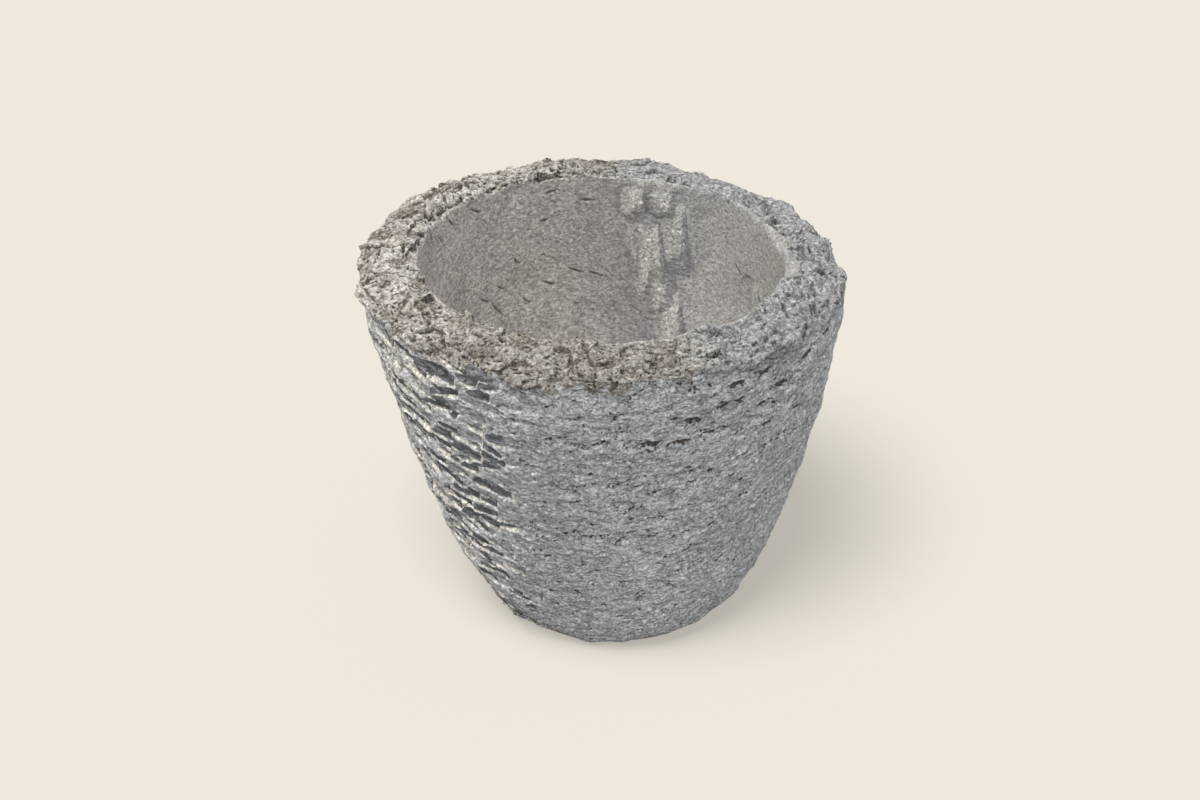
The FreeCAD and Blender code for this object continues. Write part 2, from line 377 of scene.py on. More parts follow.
pockCut = dict(
    count=2300, crowding=1.15, rareness=3, top=0.012, lengths=(0.0040, 0.012), widths=(0.0034, 0.0062),
    depths=(0.0009, 0.0028), tilt=(8, 16), cliff=(0.5, 1), ledge=(0.5, 0.9), dirt=(0.2, 0.9), flat=0.1,
)
furrows = dict(start=100, slope=0.22, length=0.011, width=0.0034, bend=((0.010, 0.07, 27),), finer=1.9, finerShare=0.7)


def wallPlace(cut, share):    # distance along the outline, from the ground to just under the rim
    return blendTo(wallLow + wallDressing["low"], wallTop - cut["top"], share)


def dressWall(draw):
    cuts, t, g, d = Cuts(), troughCut, gougeCut, deepGouge
    for number in range(t["count"]):
        share = draw.random() ** t["crowding"]
        cuts.add(draw.uniform(0, fullTurn), wallPlace(t, share),
                 blendTo(*t["lengths"], share) * draw.uniform(*t["longer"]),
                 blendTo(*t["widths"], share) * draw.uniform(*t["wider"]),
                 blendTo(*t["depths"], share) * draw.uniform(*t["deeper"]), math.radians(draw.normal(*t["tilt"])),
                 draw.uniform(*t["cliff"]), draw.uniform(*t["ledge"]), dirt=draw.uniform(*t["dirt"]), flat=t["flat"])
    for number in range(g["count"]):
        angle, share = draw.uniform(0, fullTurn), draw.random() ** g["crowding"]
        if draw.random() < g["flankLoss"] * leftFlank[int(angle / pitch) % columnCount]:
            continue
        length = draw.uniform(*g["lengths"]) * blendTo(g["smallest"], 1, share)
        width = length * draw.uniform(*g["widthShare"]) + g["widthMore"]
        along, tilt = wallPlace(g, share), math.radians(draw.normal(*g["tilt"]))
        cuts.add(angle, along, length, width, width * draw.uniform(*g["depthShare"]), tilt, draw.uniform(*g["cliff"]),
                 draw.uniform(*g["ledge"]), dirt=draw.uniform(*g["dirt"]), flat=g["flat"])
        addBites(cuts, draw, angle, along, length, width, tilt, draw.integers(*g["bites"]))
    for turn, height, length, tilt in d["places"]:
        angle, along, tilt = math.radians(turn), wallArc(height), math.radians(tilt)
        cuts.add(angle, along, length, d["width"], d["depth"], tilt, d["cliff"], d["ledge"], dirt=d["dirt"], flat=d["flat"])
        addBites(cuts, draw, angle, along, length, d["width"], tilt, d["bites"])
    return cuts


def addBites(cuts, draw, angle, along, length, width, tilt, count):    # deeper bites under a cut's upper edge
    b = biteCut
    for number in range(count):
        aside, size = draw.uniform(*b["aside"]) * length, draw.uniform(*b["sizes"])
        up = draw.uniform(*b["up"]) * width + aside * math.sin(tilt)
        cuts.add(angle + aside * math.cos(tilt) / vessel["wallRadius"], along + up, size * draw.uniform(*b["longer"]),
                 size * b["widthShare"], width * draw.uniform(*b["depthShare"]), tilt, b["cliff"], b["ledge"],
                 dirt=draw.uniform(*b["dirt"]), flat=b["flat"])


def pockWall(draw):    # small bites of the point
    cuts, p = Cuts(), pockCut
    for number in range(p["count"]):
        big = draw.random() ** p["rareness"]
        cuts.add(draw.uniform(0, fullTurn), wallPlace(p, draw.random() ** p["crowding"]), blendTo(*p["lengths"], big),
                 blendTo(*p["widths"], big), blendTo(*p["depths"], big), math.radians(draw.normal(*p["tilt"])),
                 draw.uniform(*p["cliff"]), draw.uniform(*p["ledge"]), dirt=draw.uniform(*p["dirt"]), flat=p["flat"])
    return cuts


def strokeWall():    # fine furrows of the claw chisel, leaning up to the right
    f = furrows
    turn = (angles - math.radians(f["start"])) % fullTurn          # starts and ends at the back
    side = turn * rowRadius[:, None] + warpSide
    up = arcAt + warpUp - f["slope"] * side + grains(surface, f["bend"])
    spot = np.stack([side / f["length"], up / f["width"], np.zeros(grid)], 2)
    return grain(spot, 1, 28) + f["finerShare"] * grain(spot * f["finer"], 1, 29)


# the left flank, split off in slanting plates that each end in a steep step

flankPlates = dict(
    rowGap=0.0165, lengths=(0.026, 0.066), widths=(0.014, 0.028), depths=(0.0030, 0.0072), smallest=0.55,
    low=0.02, top=0.004, start=112, startStray=12, end=256,                    # degrees, past the left to the front
    chance=(0.15, 0.75), shallow=0.25, shift=0.004, lean=(-30, -12), leanTurn=(190, 245), leanStray=15,
    cliff=(0.12, 0.38), ledge=(1.2, 1.65), darkChance=0.6, paler=(0.05, 0.5), flat=0.5, warp=0.6,
    nextPlate=(0.6, 1.0), nextRow=(0.75, 1.15),
)


def splitFlank(draw):
    cuts, d = Cuts(), flankPlates
    leanStart, leanEnd = (math.radians(turn) for turn in d["leanTurn"])
    along = wallLow + d["low"]
    while along < wallTop - d["top"]:
        small = blendTo(d["smallest"], 1, (along - wallLow) / (wallTop - wallLow))
        radius = rowRadius[min(np.searchsorted(rowArc, along), rowCount - 1)]
        angle = math.radians(d["start"] + draw.uniform(0, d["startStray"]))
        while angle < math.radians(d["end"]):
            weight = leftFlank[int(angle / pitch) % columnCount]
            length = draw.uniform(*d["lengths"]) * small
            if draw.random() < d["chance"][0] + d["chance"][1] * weight:
                lean = blendTo(*d["lean"], ease(leanStart, leanEnd, angle))
                cuts.add(angle, along + draw.normal(0, d["shift"]), length, draw.uniform(*d["widths"]) * small,
                         draw.uniform(*d["depths"]) * small * blendTo(d["shallow"], 1, weight),
                         math.radians(draw.normal(lean, d["leanStray"])), draw.uniform(*d["cliff"]),
                         draw.uniform(*d["ledge"]), flat=d["flat"], warp=d["warp"],
                         dirt=1 if draw.random() < d["darkChance"] else draw.uniform(*d["paler"]))
            angle += length * draw.uniform(*d["nextPlate"]) / radius
        along += d["rowGap"] * small * draw.uniform(*d["nextRow"])
    return cuts


edgeFlake = dict(
    lengths=(0.036, 0.072), drops=(0.006, 0.016), widths=(0.020, 0.034), depths=(0.002, 0.0065), rightLoss=0.6,
    tilt=(0, 8), cliff=(0.35, 0.9), ledge=0.2, dirt=(0.1, 1), flat=0.8, nextFlake=(0.8, 1.5),
)
leftFlake = dict(
    width=0.016, depth=0.0065, cliff=0.5, ledge=0.3, dirt=0.9, flat=0.3,
    # angle round the vessel, height, length, tilt
    places=[(-149, 0.412, 0.052, -24), (-140, 0.408, 0.058, -22), (-131, 0.412, 0.046, -16),
            (-152, 0.392, 0.044, -26), (-143, 0.386, 0.050, -20), (-133, 0.388, 0.042, -14)],
)


def scallopEdge(draw):    # broad flakes off the wall, just under the broken rim
    cuts, e, f = Cuts(), edgeFlake, leftFlake
    angle = 0.0
    while angle < fullTurn:
        column = int(angle / pitch) % columnCount
        length = draw.uniform(*e["lengths"])
        cuts.add(angle, edge[column] - draw.uniform(*e["drops"]), length, draw.uniform(*e["widths"]),
                 draw.uniform(*e["depths"]) * (1 - e["rightLoss"] * rightSide[column]),
                 math.radians(draw.normal(*e["tilt"])), draw.uniform(*e["cliff"]), e["ledge"],
                 dirt=draw.uniform(*e["dirt"]), flat=e["flat"])
        angle += length * draw.uniform(*e["nextFlake"]) / vessel["rim"]
    for turn, height, length, tilt in f["places"]:
        cuts.add(math.radians(turn), wallArc(height), length, f["width"], f["depth"], math.radians(tilt), f["cliff"],
                 f["ledge"], dirt=f["dirt"], flat=f["flat"])
    return cuts


wallCuts, pocks = dressWall(np.random.default_rng(17)), pockWall(np.random.default_rng(23))
plates, flakes = splitFlank(np.random.default_rng(29)), scallopEdge(np.random.default_rng(31))
fine = grains(surface, wallDressing["fineLayers"])
strokes = strokeWall()
dirty = np.clip(wallCuts.dirt + pocks.dirt, 0, 1)
wallDepth = np.maximum(wallCuts.depth * (1 - wallDressing["flankLoss"] * leftFlank), flakes.depth)
wallRelief = (wallDressing["slow"] * grains(surface, wallDressing["slowLayers"])
              + wallDressing["lumps"] * grains(surface, wallDressing["lumpLayers"])
              - np.maximum(wallDepth, plates.depth) - pocks.depth
              + wallDressing["fine"] * fine * blendTo(*wallDressing["fineRough"], dirty)
              + wallDressing["strokes"] * strokes)
print("wall dressed")


# the rim, broken and never dressed

rimBreak = dict(
    rows=(0.04, 0.02),              # it reaches this far below the wall's top and past the mouth's edge
    swirl=0.032, lumps=0.0018, lumpLayers=((1, 0.045, 54), (0.9, 0.021, 55)),
    chip=0.030, chipTilt=0.20, chipSwirl=0.007, crack=(0.10, 0.02), crackShare=0.5, crackSwirl=(-0.2, 0.4),
    crumbs=(0.016, 0.0080, 0.0042), rough=0.22, crumbSwirl=0.004, rightLoss=0.65, sunk=0.001, fine=0.0005,
    ledge=0.016, ledgeDrop=0.0026, ledgeSwirl=0.010, ledgeBend=((0.004, 0.012, 57),), ledgeFall=0.16, ledgeMiddle=0.45,
    ledgeSpots=((1, 0.07, 58),), ledgeFade=(-0.5, 0.6),
)
poreCut = dict(
    count=1500, rareness=2.5, below=0.004, lengths=(0.0042, 0.014), widths=(0.0030, 0.0062), depths=(0.0014, 0.0040),
    tilt=(0.1, 0.4), cliff=(0.5, 1), ledge=(0.5, 1), dirt=(0.3, 1), flat=0.1,
)


def poreRim(draw):
    cuts, p = Cuts(), poreCut
    for number in range(p["count"]):
        angle, big = draw.uniform(0, fullTurn), draw.random() ** p["rareness"]
        column = int(angle / pitch) % columnCount
        cuts.add(angle, draw.uniform(edge[column] - p["below"], lip[column]), blendTo(*p["lengths"], big),
                 blendTo(*p["widths"], big), blendTo(*p["depths"], big), draw.normal(*p["tilt"]),
                 draw.uniform(*p["cliff"]), draw.uniform(*p["ledge"]), dirt=draw.uniform(*p["dirt"]), flat=p["flat"])
    return cuts


def breakRim():    # height of the break and the cracks in it
    r = rimBreak
    rows = np.nonzero((rowArc > wallTop - r["rows"][0]) & (rowArc < rimTop + r["rows"][1]))[0]
    spot = surface[rows]
    swirl = grain(spot, r["swirl"], 51)
    bigChips, bigCracks = chips(spot + r["chipSwirl"] * swirl[..., None], r["chip"], 52)
    crumbs = fractured(spot + r["crumbSwirl"] * swirl[..., None], r["crumbs"], 53)
    ledges = (arcAt[rows] + r["ledgeSwirl"] * swirl + grains(spot, r["ledgeBend"])) / r["ledge"]
    ledges = ledges - np.floor(ledges)
    ledges = np.minimum(ledges, (1 - ledges) / r["ledgeFall"]) - r["ledgeMiddle"]        # slow rise, then a broken drop
    relief, cracks = np.zeros(grid), np.zeros(grid)
    relief[rows] = (r["lumps"] * grains(spot, r["lumpLayers"]) + r["chip"] * r["chipTilt"] * bigChips
                    + r["rough"] * crumbs * (1 - r["rightLoss"] * rightSide) - r["sunk"]
                    + r["ledgeDrop"] * ledges * ease(*r["ledgeFade"], grains(spot, r["ledgeSpots"])))
    cracks[rows] = r["crackShare"] * ease(*r["crack"], bigCracks) * ease(*r["crackSwirl"], swirl)
    return relief, cracks


rimRelief, rimCracks = breakRim()
pores = poreRim(np.random.default_rng(61))
rimRelief += rimBreak["fine"] * fine - pores.depth
print("rim broken")


# the hollow, cut smoother, with upright flutes and a few deep tool marks

hollowDressing = dict(
    rows=(0.01, 0.04), facet=0.036, facetTilt=0.055, facetBend=((0.004, 0.02, 74),), squash=0.34,
    waves=((0.0009, 0.03, 72),), soft=0.003, fine=0.0004,
)
hollowBites = dict(
    count=420, angles=(0, fullTurn), top=0.012, bottom=0.0, crowding=0.8, lengths=(0.006, 0.024), widths=(0.0026, 0.0050),
    depths=(0.0005, 0.0014), tilt=(-10, 30), cliff=0.8, ledge=0.5, bow=(0, 1.4), dirt=(0.0, 0.35), flat=0.2, warp=1.0,
)
hollowNicks = dict(
    count=240, angles=(1.1, 3.6), top=0.012, bottom=0.08, crowding=1, lengths=(0.005, 0.020), widths=(0.0019, 0.0030),
    depths=(0.0008, 0.0018), tilt=(-32, 30), cliff=1.0, ledge=0.5, bow=(-0.8, 1.2), dirt=(0.3, 1.0), flat=0.1, warp=0.3,
)
hollowMarks = dict(
    width=0.0036, depth=0.0030, cliff=1.0, ledge=0.4, bow=0.8, dirt=1.3, flat=0.1, warp=0.3,
    # angle round the vessel, height, length, tilt
    places=[(137, 0.433, 0.028, 30), (149, 0.434, 0.030, 45), (156, 0.421, 0.042, 62), (163, 0.431, 0.034, 62),
            (107, 0.431, 0.022, -10), (95, 0.417, 0.030, 4), (110, 0.394, 0.016, 0), (122, 0.349, 0.014, 60),
            (100, 0.321, 0.032, 24), (93, 0.315, 0.032, 20), (110, 0.308, 0.030, 20), (164, 0.383, 0.020, 70),
            (129, 0.319, 0.018, 40), (137, 0.312, 0.026, 35), (132, 0.294, 0.038, 55), (119, 0.292, 0.016, 45),
            (37, 0.361, 0.026, 40), (24, 0.340, 0.024, 50)],
)
hollowFlutes = dict(
    longer=1.2, wider=1.3, deeper=1.6, dirtShare=7, share=0.4,
    # angle, height, width, length, lean and depth (as a share of the width), beside the shadow's edge
    places=[(76.2, 0.345, 0.022, 0.088, -3, 0.14), (71.1, 0.337, 0.021, 0.074, -6, 0.15),
            (63, 0.384, 0.026, 0.060, -4, 0.14), (65.6, 0.325, 0.022, 0.086, -6, 0.12),
            (71, 0.283, 0.026, 0.046, 0, 0.13), (66.9, 0.262, 0.034, 0.070, 0, 0.14),
            (72.4, 0.402, 0.034, 0.040, 0, 0.05), (62.5, 0.416, 0.026, 0.038, 0, 0.10),
            (80.3, 0.338, 0.013, 0.040, 0, 0.14), (55.3, 0.388, 0.028, 0.062, -4, 0.07),
            (57, 0.334, 0.028, 0.072, -6, 0.06), (87.2, 0.404, 0.022, 0.036, 10, 0.12),
            (82, 0.417, 0.022, 0.036, -8, 0.12), (60, 0.268, 0.024, 0.070, -4, 0.07)],
)
hollowFaces = dict(
    rise=0.21, cliff=0.16, ledge=1.0, dirt=1, flat=0.85, warp=0.8,
    # angle, height, width, length and lean of the broad slanting faces left standing between the flutes
    places=[(74.5, 0.345, 0.042, 0.112, 6), (65.5, 0.372, 0.036, 0.100, 2), (71.0, 0.290, 0.034, 0.066, 8),
            (67.0, 0.258, 0.038, 0.080, 6), (80.0, 0.412, 0.034, 0.044, 0), (70.0, 0.414, 0.034, 0.040, 0)],
)


def markHollow(draw):
    cuts, m = Cuts(), hollowMarks
    for d in (hollowBites, hollowNicks):
        for number in range(d["count"]):
            cuts.add(draw.uniform(*d["angles"]),
                     blendTo(rimTop + d["top"], hollowEnd - d["bottom"], draw.random() ** d["crowding"]),
                     draw.uniform(*d["lengths"]), draw.uniform(*d["widths"]), draw.uniform(*d["depths"]),
                     math.radians(draw.normal(*d["tilt"])), d["cliff"], d["ledge"], draw.uniform(*d["bow"]),
                     draw.uniform(*d["dirt"]), d["flat"], d["warp"])
    for turn, height, length, tilt in m["places"]:
        cuts.add(math.radians(turn), hollowArc(height), length, m["width"], m["depth"], math.radians(-tilt),
                 m["cliff"], m["ledge"], m["bow"], m["dirt"], m["flat"], m["warp"])
    return cuts


def fluteHollow():
    cuts, f = Cuts(), hollowFlutes
    for turn, height, wide, tall, lean, deep in f["places"]:
        cuts.scoop(math.radians(turn), hollowArc(height), f["longer"] * tall, f["wider"] * wide,
                   f["deeper"] * deep * wide, math.radians(90 + lean), deep * f["dirtShare"])
    return cuts


def faceHollow():    # each stands out more and more to its right edge and steps back there
    cuts, f = Cuts(), hollowFaces
    for turn, height, wide, tall, lean in f["places"]:
        cuts.add(math.radians(turn), hollowArc(height), wide, tall, f["rise"] * wide, math.radians(180 + lean),
                 f["cliff"], f["ledge"], dirt=f["dirt"], flat=f["flat"], warp=f["warp"])
    return cuts


def facetHollow():    # the broad faces of the smoother dressing
    d = hollowDressing
    rows = np.nonzero((rowArc > rimTop - d["rows"][0]) & (rowArc < hollowEnd + d["rows"][1]))[0]
    spot = surface[rows] * np.array([1, 1, d["squash"]])
    facets = chips(spot + grains(spot, d["facetBend"])[..., None], d["facet"], 71)[0]
    relief = np.zeros(grid)
    relief[rows] = d["facet"] * d["facetTilt"] * facets + grains(spot, d["waves"])
    return blur(relief, d["soft"])


marks, flutes, faces = markHollow(np.random.default_rng(73)), fluteHollow(), faceHollow()
hollowRelief = (facetHollow() + hollowDressing["fine"] * fine - marks.depth
                - hollowFlutes["share"] * flutes.depth + faces.depth)
print("hollow cut")


# all together as one closed mesh

stand = dict(fade=(-0.004, 0.012), drainFade=(-0.06, -0.09), flat=0.006, fine=0.0004)

flatBelow = (ease(*(wallLow + gap for gap in stand["fade"]), arcAt)
             * ease(*(rowArc[-1] + gap for gap in stand["drainFade"]), arcAt))
plain = 1 - np.clip(onWall + onRim + inHollow, 0, 1)
stoneRelief = (onWall * wallRelief + onRim * rimRelief + inHollow * hollowRelief + plain * stand["fine"] * fine) * flatBelow
stonePoints = surface + normals * stoneRelief[..., None]
stonePoints[..., 2] = np.where(arcAt < wallLow - stand["flat"], 0, np.maximum(stonePoints[..., 2], 0))


# what the finished shape tells about its colour

tell = dict(
    sunkSize=0.006, sunkDepth=0.0022, ridgeSize=0.0036, ridgeHeight=0.0014, creviceSize=0.0024, creviceDepth=0.0009,
    overhang=(0.05, 0.6), turned=(0.05, 0.45), smallRadius=0.05, plateEnd=(0.15, 0.62), plateDepth=0.0005, faceHeight=0.004,
    patches=((1, 0.012, 81), (0.6, 0.005, 82)), sunlitEndPatches=(-0.35, 0.15), sunlitSpots=(0.25, 0.5),
    rimTint=(0.010, 0.008), rimTintLayers=((0.008, 0.022, 83), (0.005, 0.008, 84)),
    # angle round the vessel and spread
    slateShadeSide=(-125, 70), sunlitSide=(-178, 55), highlitSide=(165, 110), shadedSide=(10, 100), sunlitPaleSide=(165, 80),
)


def tellColours():
    t = tell
    overhang = np.gradient(stoneRelief, rowArc, axis=0)            # above 0 where the wall leans out
    sunk = np.clip((blur(stoneRelief, t["sunkSize"]) - stoneRelief) / t["sunkDepth"], -1, 1)
    wornAndHighlit = np.clip((stoneRelief - blur(stoneRelief, t["ridgeSize"])) / t["ridgeHeight"], 0, 1)
    creviceShade = np.clip((blur(stoneRelief, t["creviceSize"]) - stoneRelief) / t["creviceDepth"], 0, 1)
    fluted = inHollow * np.clip(np.maximum(flutes.dirt, faces.dirt), 0, 1)
    # which way a flute's side faces
    turned = np.gradient(flutes.depth, pitch, axis=1) / np.maximum(rowRadius[:, None], t["smallRadius"]) * fluted
    # the steep ends of the plates
    plateEnds = ease(*t["plateEnd"], plates.riser) * np.clip(plates.depth / t["plateDepth"], 0, 1)
    patches = grains(surface, t["patches"])
    rimTint = ease(edge - t["rimTint"][0], edge + t["rimTint"][1], arcAt + grains(surface, t["rimTintLayers"]))
    brokenRim = onRim * (1 - 0.5 * rightSide)
    # the wall's dirt and painted shade from its cuts, less on the left flank
    wallDirtAndShade = np.maximum(np.maximum(wallCuts.dirt, 0.5 * flakes.dirt), pocks.dirt) * (1 - 0.85 * leftFlank)
    # plate ends facing the sun, and spots on the sunlit left: fresh breaks and painted sunlight
    freshAndSunlitPlates = plateEnds * ease(*t["sunlitEndPatches"], patches) + ease(*t["sunlitSpots"], patches) * towards(*t["sunlitSide"])
    fields = dict(
        # soil and painted shade: dark in the wall's cuts, most under their upper edges, and in the rim's pores and
        # cracks
        soil=onWall * wallDirtAndShade + brokenRim * np.maximum(pores.dirt, rimCracks),
        shade=(onWall * (0.30 * ease(*t["overhang"], overhang) + 0.55 * sunk)
               + (onRim + 0.7 * inHollow * (1 - fluted)) * sunk + 0.30 * ease(*t["turned"], -turned)),
        # painted shade in fine crevices of the rim and flank, and the dark of the hollow's tool marks
        creviceShade=creviceShade * (brokenRim + 0.6 * flankWall) + inHollow * marks.dirt * (1 - fluted),
        # painted shade: flank plates turned from the sun and flakes under the rim, darkened
        slateShade=(flankWall * plates.tone * (1 - plateEnds)
               + 0.5 * onWall * flakes.dirt * towards(*t["slateShadeSide"])),
        # fresh breaks and painted sunlight: the flank's sun-facing plate ends, the hollow's flutes and faces standing
        # out towards the sun
        freshAndSunlit=(flankWall * freshAndSunlitPlates + 0.2 * fluted
               + 0.24 * inHollow * np.clip(faces.depth / t["faceHeight"], 0, 1)),
        # worn ridges and painted highlight, most on the sunlit flank and the rim's left
        wornAndHighlit=wornAndHighlit * np.clip(0.2 + 0.6 * flankWall + 0.5 * onRim * towards(*t["highlitSide"]), 0, 1),
        rim=rimTint * (1 - inHollow), hollow=inHollow, stroke=np.clip(0.5 + 0.5 * strokes, 0, 1) * onWall,
        # towards the right: painted shade on the rim and a cooler grey in the hollow; the pale mask: painted sunlight
        # on the rim's left
        coolAndShaded=np.broadcast_to(towards(*t["shadedSide"]), grid), pale=np.broadcast_to(towards(*t["sunlitPaleSide"]), grid),
    )
    return {name: np.clip(field, 0, 1) for name, field in fields.items()}


def closedMesh(name, points, values):
    mesh = bpy.data.meshes.new(name)
    count = rowCount * columnCount
    index = np.arange(count).reshape(rowCount, columnCount)
    right, above = np.roll(index, -1, 1), np.roll(index, -1, 0)
    corners = np.stack([index, right, np.roll(above, -1, 1), above], 2)
    mesh.vertices.add(count)
    mesh.vertices.foreach_set("co", points.astype(np.float32).ravel())
    mesh.loops.add(4 * count)
    mesh.loops.foreach_set("vertex_index", corners.astype(np.int32).ravel())
    mesh.polygons.add(count)
    mesh.polygons.foreach_set("loop_start", np.arange(0, 4 * count, 4, dtype=np.int32))
    mesh.polygons.foreach_set("use_smooth", np.ones(count, bool))
    # one flat sheet: round the vessel across, along the outline up
    u, v = np.arange(columnCount) / columnCount, np.arange(rowCount) / rowCount
    sheet = np.zeros((rowCount, columnCount, 4, 2), np.float32)
    for corner, (across, up) in enumerate(((0, 0), (1, 0), (1, 1), (0, 1))):
        sheet[:, :, corner, 0] = u + across / columnCount
        sheet[:, :, corner, 1] = (v + up / rowCount)[:, None]
    mesh.uv_layers.new(name="OFBake").data.foreach_set("uv", sheet.ravel())
    for label, field in values.items():
        mesh.attributes.new(label, "FLOAT", "POINT").data.foreach_set("value", field.astype(np.float32).ravel())
    mesh.update(calc_edges=True)
    mesh.validate()
    piece = bpy.data.objects.new(name, mesh)
    bpy.context.scene.collection.objects.link(piece)
    return piece


hewnStone = closedMesh("hewnStone", stonePoints, tellColours())
print("stone meshed:", len(hewnStone.data.polygons), "faces")


# shader maths as plain expressions

class Wire:
    def __init__(self, tree, socket):
        self.tree, self.socket = tree, socket

    def maths(self, operation, *values):
        return addNode(self.tree, "ShaderNodeMath", dict(operation=operation), dict(enumerate(values)))

    def __add__(self, other):
        return self.maths("ADD", self, other)

    def __sub__(self, other):
        return self.maths("SUBTRACT", self, other)

    def __rsub__(self, other):
        return self.maths("SUBTRACT", other, self)

    def __mul__(self, other):
        return self.maths("MULTIPLY", self, other)

    def __abs__(self):
        return self.maths("ABSOLUTE", self)

    __radd__, __rmul__ = __add__, __mul__

    def between(self, low, high):    # 0 below low, 1 above high
        settings = dict(clamp=True, interpolation_type="SMOOTHSTEP")
        return addNode(self.tree, "ShaderNodeMapRange", settings, {"Value": self, "From Min": low, "From Max": high})


def addNode(tree, kind, settings, values, out=0):
    node = tree.nodes.new(kind)
    for key, value in settings.items():
        setattr(node, key, value)
    for key, value in values.items():
        if isinstance(value, Wire):
            tree.links.new(value.socket, node.inputs[key])
        else:
            node.inputs[key].default_value = value
    return Wire(tree, node.outputs[out]) if len(node.outputs) else node


def newMaterial(name):
    material = bpy.data.materials.new(name)
    material.use_nodes = True
    material.node_tree.nodes.clear()
    return material, material.node_tree


def mixColour(tree, share, first, second, how="MIX"):
    return addNode(tree, "ShaderNodeMix", dict(data_type="RGBA", blend_type=how), {0: share, 6: first, 7: second}, 2)


limestoneLook = dict(
    wall=(0.56, 0.575, 0.597, 1), wallDark=(0.345, 0.353, 0.363, 1),
    # the pale colour: the rim's left with painted sunlight; the next two: the rim's right, cooler grey with painted
    # shade
    rim=(0.33, 0.316, 0.293, 1), stain=(0.19, 0.172, 0.145, 1), pale=(0.53, 0.516, 0.486, 1),
    rimCoolShade=(0.385, 0.39, 0.396, 1), coolShadeDark=(0.235, 0.239, 0.245, 1),
    hollow=(0.59, 0.55, 0.52, 1), hollowDark=(0.40, 0.369, 0.345, 1), hollowCool=(0.345, 0.349, 0.354, 1),
    # slate: the plates' colour with painted shade; fresh: fresh breaks with painted sunlight
    freshAndSunlit=(0.68, 0.66, 0.617, 1), slateShade=(0.215, 0.227, 0.246, 1), slateShadeDark=(0.105, 0.113, 0.125, 1),
    # the soil colour: soil and painted shade in pits; the crack colour also serves painted shade in crevices and pores
    soil=(0.055, 0.047, 0.040, 1), brown=(0.27, 0.243, 0.21, 1), crack=(0.10, 0.088, 0.074, 1),
    dimmed=(0.40, 0.38, 0.36, 1), gritLow=(0.66, 0.66, 0.66, 1), gritHigh=(1.30, 1.30, 1.30, 1),
    # noises as scale, detail and roughness
    broad=(9, 3, 0.55), patchy=(26, 5, 0.65), dashes=(130, 5, 0.7), speckle=(340, 2, 0.6), sand=(230, 3, 0.65),
    innerSand=(230, 3, 0.7), stains=(75, 4, 0.7), slateBands=(70, 4, 0.6), veins=(70, 5, 0.62), hairs=(150, 4, 0.6),
    dust=(300, 2, 0.65),
    bedding=(1, 1, 2.1), facetBend=(60.0, 3.0), facetWarp=(0.016, 0.016, 0.016), facets=80.0,
    pinholes=200, pinholeSize=0.32, soilHoles=195, roughness=0.93, shine=0.2, bump=0.0013,
)


